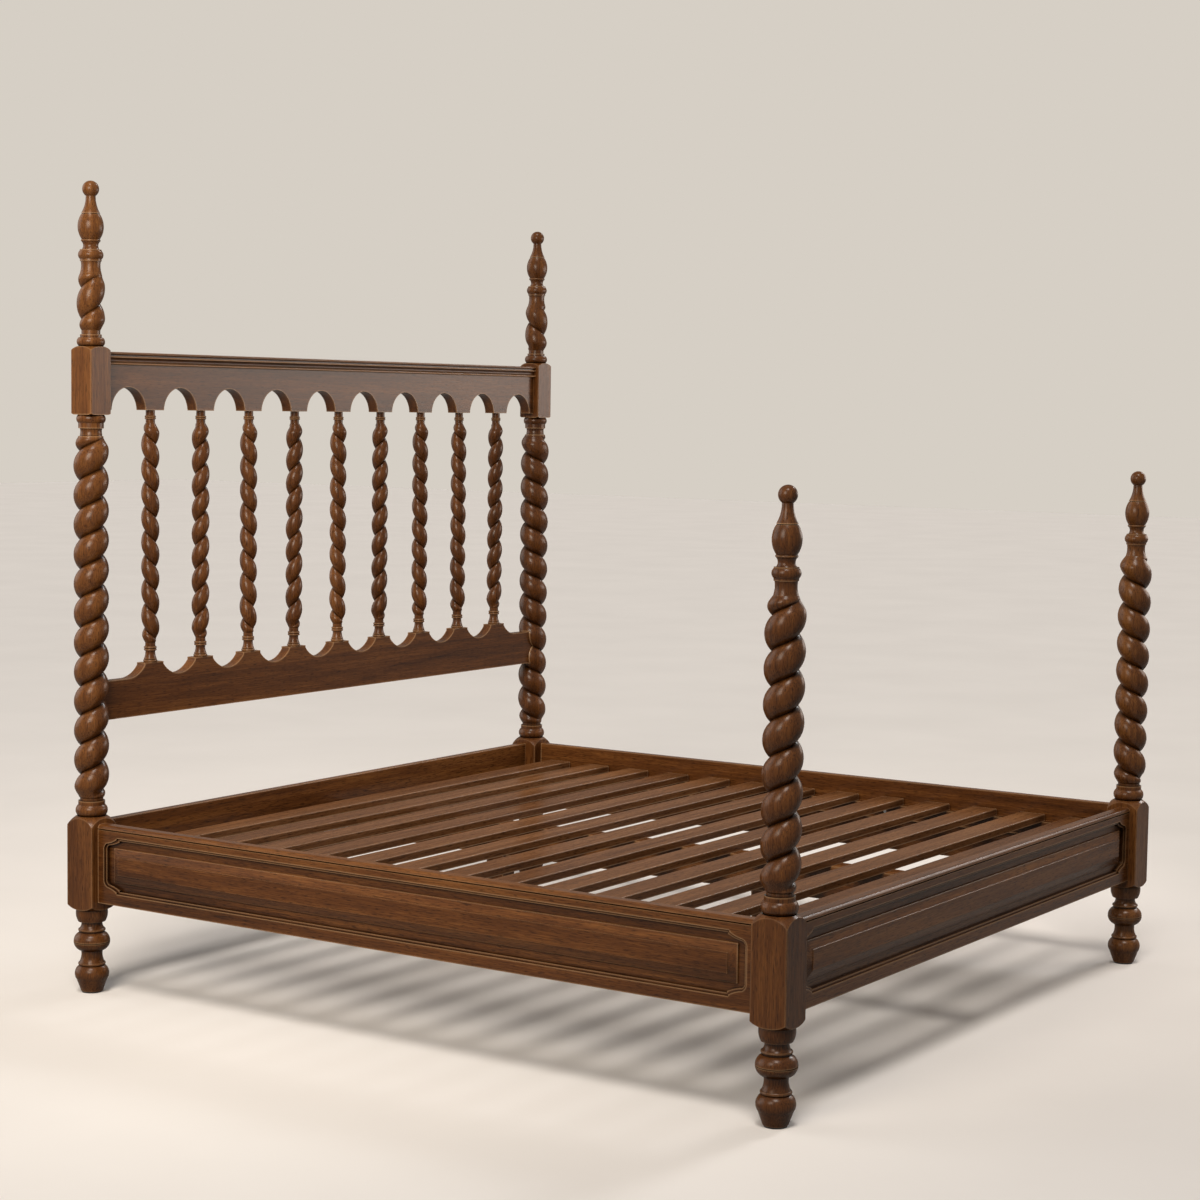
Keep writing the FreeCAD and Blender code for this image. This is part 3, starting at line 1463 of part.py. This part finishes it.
def check_and_write():
    """Stop on any failed feature, then write each sub-part to its own file."""
    doc.recompute()
    for obj in doc.Objects:
        if "Invalid" in obj.State or "Error" in obj.State:
            raise RuntimeError(f"{obj.Name} failed: {obj.State}")
    for node in nodes:
        if node.Shape.isNull() or not node.Shape.isValid() or not node.Shape.Solids:
            raise RuntimeError(f"{node.Label} has no valid solid")
    os.makedirs("parts", exist_ok=True)
    for node in nodes:
        node.Shape.exportStep(f"parts/{node.Label}.step")
        print(node.Label, len(node.Shape.Solids), round(node.Shape.Volume))


foot_posts()
head_posts()
top_rail()
cap_moulding()
lower_rail()
spindles()
foot_and_head_rails()
side_rails()
slats()
slat_pegs()
ledgers()
ledger_screws()
centre_beam()
centre_legs()
glides()
beam_hangers()
hook_plates()
check_and_write()
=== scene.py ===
import math

import bmesh
import bpy
from mathutils import Matrix, Vector


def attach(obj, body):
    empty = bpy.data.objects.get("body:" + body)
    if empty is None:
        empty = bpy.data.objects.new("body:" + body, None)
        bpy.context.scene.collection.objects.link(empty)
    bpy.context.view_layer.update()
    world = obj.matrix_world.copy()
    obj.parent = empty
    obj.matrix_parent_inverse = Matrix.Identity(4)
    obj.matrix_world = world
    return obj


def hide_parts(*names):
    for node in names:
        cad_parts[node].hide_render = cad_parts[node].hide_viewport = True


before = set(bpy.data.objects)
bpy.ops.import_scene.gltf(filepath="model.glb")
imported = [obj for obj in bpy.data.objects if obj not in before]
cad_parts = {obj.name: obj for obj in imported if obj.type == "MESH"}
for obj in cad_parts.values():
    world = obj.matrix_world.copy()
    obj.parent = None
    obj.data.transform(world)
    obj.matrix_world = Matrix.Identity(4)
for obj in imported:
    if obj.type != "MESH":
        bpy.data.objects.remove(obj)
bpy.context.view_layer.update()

MM = 0.001
X_AXIS, Y_AXIS, Z_AXIS = 0, 1, 2

# Photograph's camera: lens, frame width and place in millimetres, angles in degrees
CAMERA = {
    "lens": 74.556,
    "frame_width": 36.0,
    "place": (-5618.0, -3624.2, 1554.1),
    "yaw": 33.59,
    "pitch": 4.49,
    "roll": 0.82,
}
VIEW_DEPTH = 100000 * MM


def linear(hex_colour):
    """Linear RGBA of an sRGB hex colour."""
    channels = [int(hex_colour[i:i + 2], 16) / 255 for i in (1, 3, 5)]
    straight = [c / 12.92 if c <= 0.04045 else ((c + 0.055) / 1.055) ** 2.4 for c in channels]
    return (*straight, 1.0)


def grey(level):
    """Linear grey of a pattern or a mask."""
    return (level, level, level, 1.0)


def per_mm(width):
    """Noise scale whose features are about as wide as this many millimetres."""
    return 1000.0 / width


# A Mix node's sockets for numbers and for colours share their names, so the colour sockets go by number
COLOUR_A, COLOUR_B, MIXED_COLOUR = 6, 7, 2


def add_node(tree, kind, settings=None, inputs=None, stops=()):
    """Add a node, set it up, link or fill its inputs and place its colour stops."""
    node = tree.nodes.new(kind)
    for name, value in (settings or {}).items():
        setattr(node, name, value)
    for socket, value in (inputs or {}).items():
        if isinstance(value, bpy.types.NodeSocket):
            tree.links.new(value, node.inputs[socket])
        else:
            node.inputs[socket].default_value = value
    # A new ramp has two stops
    for _ in stops[2:]:
        node.color_ramp.elements.new(0.5)
    for number, (place, colour) in enumerate(stops):
        element = node.color_ramp.elements[number]
        element.position = place
        element.color = colour
    return node


def new_material(name):
    """Empty material with its shader and output."""
    material = bpy.data.materials.new(name)
    material.use_nodes = True
    tree = material.node_tree
    tree.nodes.clear()
    shader = add_node(tree, "ShaderNodeBsdfPrincipled")
    add_node(tree, "ShaderNodeOutputMaterial", inputs={"Surface": shader.outputs["BSDF"]})
    return material, tree, shader


# Open-pored hardwood, turned or planed, stained dark walnut and varnished satin: the eye sees boards of
# slightly different tone, long bands of figure, fine straight fibre streaks, a few short pores, painted shade
# in the hollows, paler arrises that are partly worn wood and partly a painted highlight, and a soft gloss

# Grain patterns: width across the grain in millimetres, scale along the grain as a share of that across it,
# and a shift that keeps the patterns apart. Real pores are about 0.3 mm wide; they are drawn wider so that
# they show
GRAIN = {
    "board": {"width": 130, "stretch": 0.06, "detail": 1.0, "waviness": 0.0, "shift": 0},
    "figure": {"width": 24, "stretch": 0.05, "detail": 4.0, "waviness": 0.7, "shift": 2},
    "streak": {"width": 2.4, "stretch": 0.03, "detail": 4.0, "waviness": 0.0, "shift": 3},
    "pore": {"width": 1.7, "stretch": 0.07, "detail": 1.0, "waviness": 0.0, "shift": 7},
}
GRAIN_CRISPNESS = 0.55
STREAK_SHARE = 0.5
BOARD_SHARE = 0.3
PORE_DARKNESS = 0.6
PORE_RELIEF_SHARE = 0.5
GRAIN_RELIEF = 0.4 * MM
RELIEF_STRENGTH = 0.2

# How far from an arris the stain is rubbed off and a highlight is painted, and how far the painted shade in a
# hollow reaches
ARRIS_REACH = 5 * MM
ARRIS_WEAR_AND_HIGHLIGHT = 0.45
PAINTED_SHADE_REACH = 60 * MM
PAINTED_SHADE_TONE = 0.06
SHADE_SAMPLES = 8
VARNISH_ROUGHNESS = 0.26
# How far the streaks make the bare wood smoother and rougher
STREAK_ROUGHNESS = (-0.06, 0.08)


def grain_noise(tree, axis, kind, offset):
    """Noise over Object coordinates that is drawn out along the grain."""
    grain = GRAIN[kind]
    scale = [1.0, 1.0, 1.0]
    scale[axis] = grain["stretch"]
    shift = offset + grain["shift"]
    place = add_node(tree, "ShaderNodeTexCoord")
    mapping = add_node(tree, "ShaderNodeMapping", inputs={
        "Vector": place.outputs["Object"], "Location": (shift, shift, shift), "Scale": scale})
    noise = add_node(tree, "ShaderNodeTexNoise", inputs={
        "Vector": mapping.outputs["Vector"], "Scale": per_mm(grain["width"]), "Detail": grain["detail"],
        "Roughness": GRAIN_CRISPNESS, "Distortion": grain["waviness"]})
    return noise.outputs["Fac"]


def stained_wood(name, axis, tones, roughness, varnish, offset):
    """Stained wood with its grain along one axis, under a coat of varnish that gives the gloss."""
    material, tree, shader = new_material(name)
    dark, middle, light, wear_and_highlight_tone = (linear(tone) for tone in tones)
    board, figure, streak, pore = (grain_noise(tree, axis, kind, offset) for kind in GRAIN)

    # Tone of the grain, with dark pores
    fibre = add_node(tree, "ShaderNodeMix", inputs={"Factor": STREAK_SHARE, "A": figure, "B": streak})
    grain = add_node(tree, "ShaderNodeMix", inputs={
        "Factor": BOARD_SHARE, "A": fibre.outputs["Result"], "B": board})
    tone = add_node(tree, "ShaderNodeValToRGB", inputs={"Fac": grain.outputs["Result"]},
                    stops=[(0.33, dark), (0.5, middle), (0.67, light)])
    pores = add_node(tree, "ShaderNodeValToRGB", inputs={"Fac": pore},
                     stops=[(0.33, grey(0.0)), (0.43, grey(1.0))])
    pored = add_node(tree, "ShaderNodeMix", {"data_type": "RGBA", "blend_type": "MULTIPLY"}, {
        "Factor": PORE_DARKNESS, COLOUR_A: tone.outputs["Color"], COLOUR_B: pores.outputs["Color"]})

    # Paler wood along the arrises: partly stain rubbed off, partly a painted highlight
    arris = add_node(tree, "ShaderNodeAmbientOcclusion",
                     {"samples": SHADE_SAMPLES, "only_local": True, "inside": True},
                     {"Distance": ARRIS_REACH})
    wear_and_highlight_mask = add_node(tree, "ShaderNodeValToRGB", inputs={"Fac": arris.outputs["AO"]},
                      stops=[(0.55, grey(ARRIS_WEAR_AND_HIGHLIGHT)), (0.9, grey(0.0))])
    edged = add_node(tree, "ShaderNodeMix", {"data_type": "RGBA"}, {
        "Factor": wear_and_highlight_mask.outputs["Color"], COLOUR_A: pored.outputs[MIXED_COLOUR], COLOUR_B: wear_and_highlight_tone})

    # Painted shade: the colour is darkened in the hollows by ambient occlusion
    hollow = add_node(tree, "ShaderNodeAmbientOcclusion", {"samples": SHADE_SAMPLES, "only_local": True},
                      {"Distance": PAINTED_SHADE_REACH})
    shade = add_node(tree, "ShaderNodeValToRGB", inputs={"Fac": hollow.outputs["AO"]},
                     stops=[(0.32, grey(PAINTED_SHADE_TONE)), (0.93, grey(1.0))])
    stain_and_painted_shade = add_node(tree, "ShaderNodeMix", {"data_type": "RGBA", "blend_type": "MULTIPLY"}, {
        "Factor": 1.0, COLOUR_A: edged.outputs[MIXED_COLOUR], COLOUR_B: shade.outputs["Color"]})
    tree.links.new(stain_and_painted_shade.outputs[MIXED_COLOUR], shader.inputs["Base Color"])

    # Gloss and relief of the grain
    rough = add_node(tree, "ShaderNodeMapRange", inputs={
        "Value": streak, "From Min": 0.3, "From Max": 0.7,
        "To Min": roughness + STREAK_ROUGHNESS[0], "To Max": roughness + STREAK_ROUGHNESS[1]})
    tree.links.new(rough.outputs["Result"], shader.inputs["Roughness"])
    relief = add_node(tree, "ShaderNodeMix", inputs={
        "Factor": PORE_RELIEF_SHARE, "A": pores.outputs["Color"], "B": streak})
    bump = add_node(tree, "ShaderNodeBump", inputs={
        "Height": relief.outputs["Result"], "Strength": RELIEF_STRENGTH, "Distance": GRAIN_RELIEF})
    tree.links.new(bump.outputs["Normal"], shader.inputs["Normal"])
    shader.inputs["Specular IOR Level"].default_value = 0.0
    shader.inputs["Coat Weight"].default_value = varnish
    shader.inputs["Coat Roughness"].default_value = VARNISH_ROUGHNESS
    return material


# Zinc-plated pressed steel: a cool grey metal with faint blotches from the plating bath
ZINC_TONES = ("#8f9296", "#b3b4b3")
ZINC_BLOTCH_WIDTH = 9


def zinc_plate():
    material, tree, shader = new_material("zinc_plated_steel")
    place = add_node(tree, "ShaderNodeTexCoord")
    blotch = add_node(tree, "ShaderNodeTexNoise", inputs={
        "Vector": place.outputs["Object"], "Scale": per_mm(ZINC_BLOTCH_WIDTH), "Detail": 3.0})
    tone = add_node(tree, "ShaderNodeValToRGB", inputs={"Fac": blotch.outputs["Fac"]},
                    stops=[(0.3, linear(ZINC_TONES[0])), (0.7, linear(ZINC_TONES[1]))])
    tree.links.new(tone.outputs["Color"], shader.inputs["Base Color"])
    rough = add_node(tree, "ShaderNodeMapRange", inputs={
        "Value": blotch.outputs["Fac"], "To Min": 0.3, "To Max": 0.5})
    tree.links.new(rough.outputs["Result"], shader.inputs["Roughness"])
    shader.inputs["Metallic"].default_value = 1.0
    return material


# Moulded black polypropylene: matt, with a fine grit from the mould
GLIDE_TONES = ("#151413", "#262422")
GLIDE_GRIT_WIDTH = 1.2
GLIDE_GRIT_RELIEF = 0.3 * MM


def moulded_glide():
    material, tree, shader = new_material("moulded_polypropylene")
    place = add_node(tree, "ShaderNodeTexCoord")
    grit = add_node(tree, "ShaderNodeTexNoise", inputs={
        "Vector": place.outputs["Object"], "Scale": per_mm(GLIDE_GRIT_WIDTH), "Detail": 2.0})
    tone = add_node(tree, "ShaderNodeValToRGB", inputs={"Fac": grit.outputs["Fac"]},
                    stops=[(0.3, linear(GLIDE_TONES[0])), (0.7, linear(GLIDE_TONES[1]))])
    tree.links.new(tone.outputs["Color"], shader.inputs["Base Color"])
    bump = add_node(tree, "ShaderNodeBump", inputs={
        "Height": grit.outputs["Fac"], "Strength": RELIEF_STRENGTH, "Distance": GLIDE_GRIT_RELIEF})
    tree.links.new(bump.outputs["Normal"], shader.inputs["Normal"])
    shader.inputs["Roughness"].default_value = 0.6
    return material


# Tones of each wood: dark, middle and light grain, then the pale arris tone, partly wear and partly painted
# highlight
WALNUT_TONES = ("#2e190b", "#573317", "#7a4f28", "#b8936c")
SLAT_TONES = ("#432715", "#624026", "#7d5738", "#c4a380")
BEECH_TONES = ("#a07c55", "#c2a077", "#d8bd97", "#e2cba9")
WALNUT_GLOSS = {"roughness": 0.36, "varnish": 0.36}
SLAT_GLOSS = {"roughness": 0.45, "varnish": 0.2}
PEG_GLOSS = {"roughness": 0.5, "varnish": 0.1}

upright_walnut = stained_wood("upright_stained_walnut", Z_AXIS, WALNUT_TONES, offset=0.31, **WALNUT_GLOSS)
cross_walnut = stained_wood("cross_stained_walnut", X_AXIS, WALNUT_TONES, offset=0.57, **WALNUT_GLOSS)
long_walnut = stained_wood("lengthwise_stained_walnut", Y_AXIS, WALNUT_TONES, offset=0.83, **WALNUT_GLOSS)
slat_walnut = stained_wood("planed_slat_walnut", X_AXIS, SLAT_TONES, offset=1.7, **SLAT_GLOSS)
peg_beech = stained_wood("turned_peg_beech", Z_AXIS, BEECH_TONES, offset=2.3, **PEG_GLOSS)
zinc = zinc_plate()
glide = moulded_glide()


def finish_for(node):
    """Material of a CAD node, with the grain along the piece."""
    if node == "slat_pegs":
        return peg_beech
    if node.endswith(("screws", "plates", "bolts")) or node.startswith("beam_hanger"):
        return zinc
    if node.endswith("glides"):
        return glide
    if node.startswith(("side_rail", "side_panel", "slat_ledger")) or node == "centre_beam":
        return long_walnut
    if node.startswith("slat_"):
        return slat_walnut
    if "post" in node or node.startswith(("spindle", "centre_leg")):
        return upright_walnut
    return cross_walnut


for node_name, node_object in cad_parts.items():
    for material_slot in node_object.material_slots:
        material_slot.material = finish_for(node_name)


# Boards: copies whose sharp edges are rubbed round, as sanded and varnished boards have them
WELD = 0.01 * MM
FLAT_ANGLE = math.radians(0.5)
SHARP_ANGLE = math.radians(32)
ARRIS_WIDTH = 1.8 * MM
FLAT_FACE_WEIGHT = 100
SLAT_COUNT = 13
BOARDS = ["headboard_top_rail", "headboard_cap_moulding", "headboard_lower_rail", "foot_rail", "foot_panel",
          "head_cross_rail", "side_rail_left", "side_rail_right", "side_panel_left", "side_panel_right",
          "centre_beam"]
BOARDS += [f"slat_{number:02d}" for number in range(1, SLAT_COUNT + 1)]


def soften_board(node):
    """Copy of a board with rounded arrises, which stands for its CAD node."""
    shape = bmesh.new()
    shape.from_mesh(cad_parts[node].data)
    bmesh.ops.remove_doubles(shape, verts=shape.verts, dist=WELD)
    bmesh.ops.dissolve_limit(shape, angle_limit=FLAT_ANGLE, verts=shape.verts, edges=shape.edges)
    sharp = [edge for edge in shape.edges
             if edge.is_manifold and edge.is_convex and edge.calc_face_angle() > SHARP_ANGLE]
    bmesh.ops.bevel(shape, geom=sharp, offset=ARRIS_WIDTH, offset_type="OFFSET", affect="EDGES",
                    segments=2, profile=0.5, material=-1, clamp_overlap=True)
    for face in shape.faces:
        face.smooth = True
    mesh = bpy.data.meshes.new(node + "_softened")
    shape.to_mesh(mesh)
    shape.free()
    mesh.set_sharp_from_angle(angle=SHARP_ANGLE)
    mesh.materials.clear()
    mesh.materials.append(finish_for(node))
    piece = bpy.data.objects.new(node + "_softened", mesh)
    bpy.context.collection.objects.link(piece)
    level = piece.modifiers.new("flat_faces", "WEIGHTED_NORMAL")
    level.weight = FLAT_FACE_WEIGHT
    level.keep_sharp = True
    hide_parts(node)
    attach(piece, "root")


for board_node in BOARDS:
    soften_board(board_node)


# Floor, and a backdrop with the tone that the floor takes in this light. Light that the bed's matt surfaces
# gather from them is dimmer than their pale tones, so that it doesn't wash out the wood
FLOOR_TONES = ("#dfdcd9", "#e3e0dd")
FLOOR_BOUNCE = "#57534f"
FLOOR_CLOUD_WIDTH = 700
FLOOR_HALF = 30000 * MM
BACKDROP = "#d6cfc5"
SKY_LIGHT = "#6c6a68"


def backdrop_rays(tree):
    """1 for the rays that see the pale backdrop: the camera's, and those that a gloss or glass sends on."""
    path = add_node(tree, "ShaderNodeLightPath")
    share = path.outputs["Is Camera Ray"]
    for kind in ("Is Glossy Ray", "Is Transmission Ray"):
        either = add_node(tree, "ShaderNodeMath", {"operation": "MAXIMUM"}, {0: share, 1: path.outputs[kind]})
        share = either.outputs["Value"]
    return share


# Smooth pale plaster: matt, with faint broad clouds from the trowel
def pale_floor():
    shape = bmesh.new()
    bmesh.ops.create_grid(shape, x_segments=2, y_segments=2, size=FLOOR_HALF)
    mesh = bpy.data.meshes.new("floor")
    shape.to_mesh(mesh)
    shape.free()
    floor = bpy.data.objects.new("floor", mesh)
    bpy.context.collection.objects.link(floor)
    material, tree, shader = new_material("pale_plaster_floor")
    place = add_node(tree, "ShaderNodeTexCoord")
    cloud = add_node(tree, "ShaderNodeTexNoise", inputs={
        "Vector": place.outputs["Object"], "Scale": per_mm(FLOOR_CLOUD_WIDTH), "Detail": 3.0})
    tone = add_node(tree, "ShaderNodeValToRGB", inputs={"Fac": cloud.outputs["Fac"]},
                    stops=[(0.3, linear(FLOOR_TONES[0])), (0.7, linear(FLOOR_TONES[1]))])
    seen = add_node(tree, "ShaderNodeMix", {"data_type": "RGBA"}, {
        "Factor": backdrop_rays(tree), COLOUR_A: linear(FLOOR_BOUNCE), COLOUR_B: tone.outputs["Color"]})
    tree.links.new(seen.outputs[MIXED_COLOUR], shader.inputs["Base Color"])
    shader.inputs["Roughness"].default_value = 0.9
    shader.inputs["Specular IOR Level"].default_value = 0.0
    mesh.materials.append(material)


def studio_world():
    """World with a pale backdrop and a dimmer, even light."""
    world = bpy.data.worlds.new("studio")
    bpy.context.scene.world = world
    world.use_nodes = True
    tree = world.node_tree
    tree.nodes.clear()
    seen = add_node(tree, "ShaderNodeMix", {"data_type": "RGBA"}, {
        "Factor": backdrop_rays(tree), COLOUR_A: linear(SKY_LIGHT), COLOUR_B: linear(BACKDROP)})
    sky = add_node(tree, "ShaderNodeBackground", inputs={"Color": seen.outputs[MIXED_COLOUR]})
    add_node(tree, "ShaderNodeOutputWorld", inputs={"Surface": sky.outputs["Background"]})


# Lamps: places in metres, power in watts, spread in degrees
def softbox(name, place, target, sides, power, spread, colour):
    """Rectangular area lamp that faces a point, with a grid that narrows its spread."""
    lamp = bpy.data.lights.new(name, "AREA")
    lamp.shape = "RECTANGLE"
    lamp.size, lamp.size_y = sides
    lamp.spread = math.radians(spread)
    lamp.energy = power
    lamp.color = linear(colour)[:3]
    holder = bpy.data.objects.new(name, lamp)
    holder.location = place
    holder.rotation_euler = (Vector(target) - Vector(place)).to_track_quat("-Z", "Y").to_euler()
    bpy.context.collection.objects.link(holder)


def soft_sun(name, way, strength, spread, colour):
    """Distant light with a broad soft disc, so that the floor is lit evenly."""
    lamp = bpy.data.lights.new(name, "SUN")
    lamp.energy = strength
    lamp.angle = math.radians(spread)
    lamp.color = linear(colour)[:3]
    holder = bpy.data.objects.new(name, lamp)
    holder.rotation_euler = (-Vector(way)).to_track_quat("-Z", "Y").to_euler()
    bpy.context.collection.objects.link(holder)


def studio_lamps():
    """Key and fill from distant lamps, a window light from the left and a sheen on the headboard."""
    soft_sun("key_sun", way=(-0.42, -0.22, 1.0), strength=1.8, spread=18, colour="#fff6ec")
    soft_sun("back_fill_sun", way=(-0.25, 0.95, 0.26), strength=1.3, spread=50, colour="#fffaf4")
    soft_sun("edge_sun", way=(0.81, -0.1, 0.56), strength=0.7, spread=12, colour="#ffffff")
    softbox("window_softbox", place=(-4.0, -0.4, 2.6), target=(0.0, 0.8, 1.1), sides=(1.8, 1.8),
            power=37, spread=80, colour="#fff1df")
    softbox("sheen_softbox", place=(3.05, -1.5, 1.8), target=(0.0, 1.03, 1.6), sides=(2.6, 1.0),
            power=26, spread=120, colour="#fff0e4")


def photo_camera():
    """Camera at the photograph's place and angle."""
    yaw = math.radians(CAMERA["yaw"])
    pitch = math.radians(CAMERA["pitch"])
    forward = Vector((math.cos(pitch) * math.cos(yaw), math.cos(pitch) * math.sin(yaw), -math.sin(pitch)))
    right = Vector((math.sin(yaw), -math.cos(yaw), 0.0))
    up = right.cross(forward)
    roll = Matrix.Rotation(math.radians(CAMERA["roll"]), 3, "Z")
    turn = Matrix((right, up, -forward)).transposed() @ roll
    lens = bpy.data.cameras.new("photo_camera")
    lens.lens = CAMERA["lens"]
    lens.sensor_width = CAMERA["frame_width"]
    lens.clip_end = VIEW_DEPTH
    camera = bpy.data.objects.new("photo_camera", lens)
    camera.matrix_world = Matrix.Translation(Vector(CAMERA["place"]) * MM) @ turn.to_4x4()
    bpy.context.collection.objects.link(camera)
    bpy.context.scene.camera = camera


pale_floor()
studio_world()
studio_lamps()
photo_camera()
bpy.context.scene.view_settings.view_transform = "Standard"
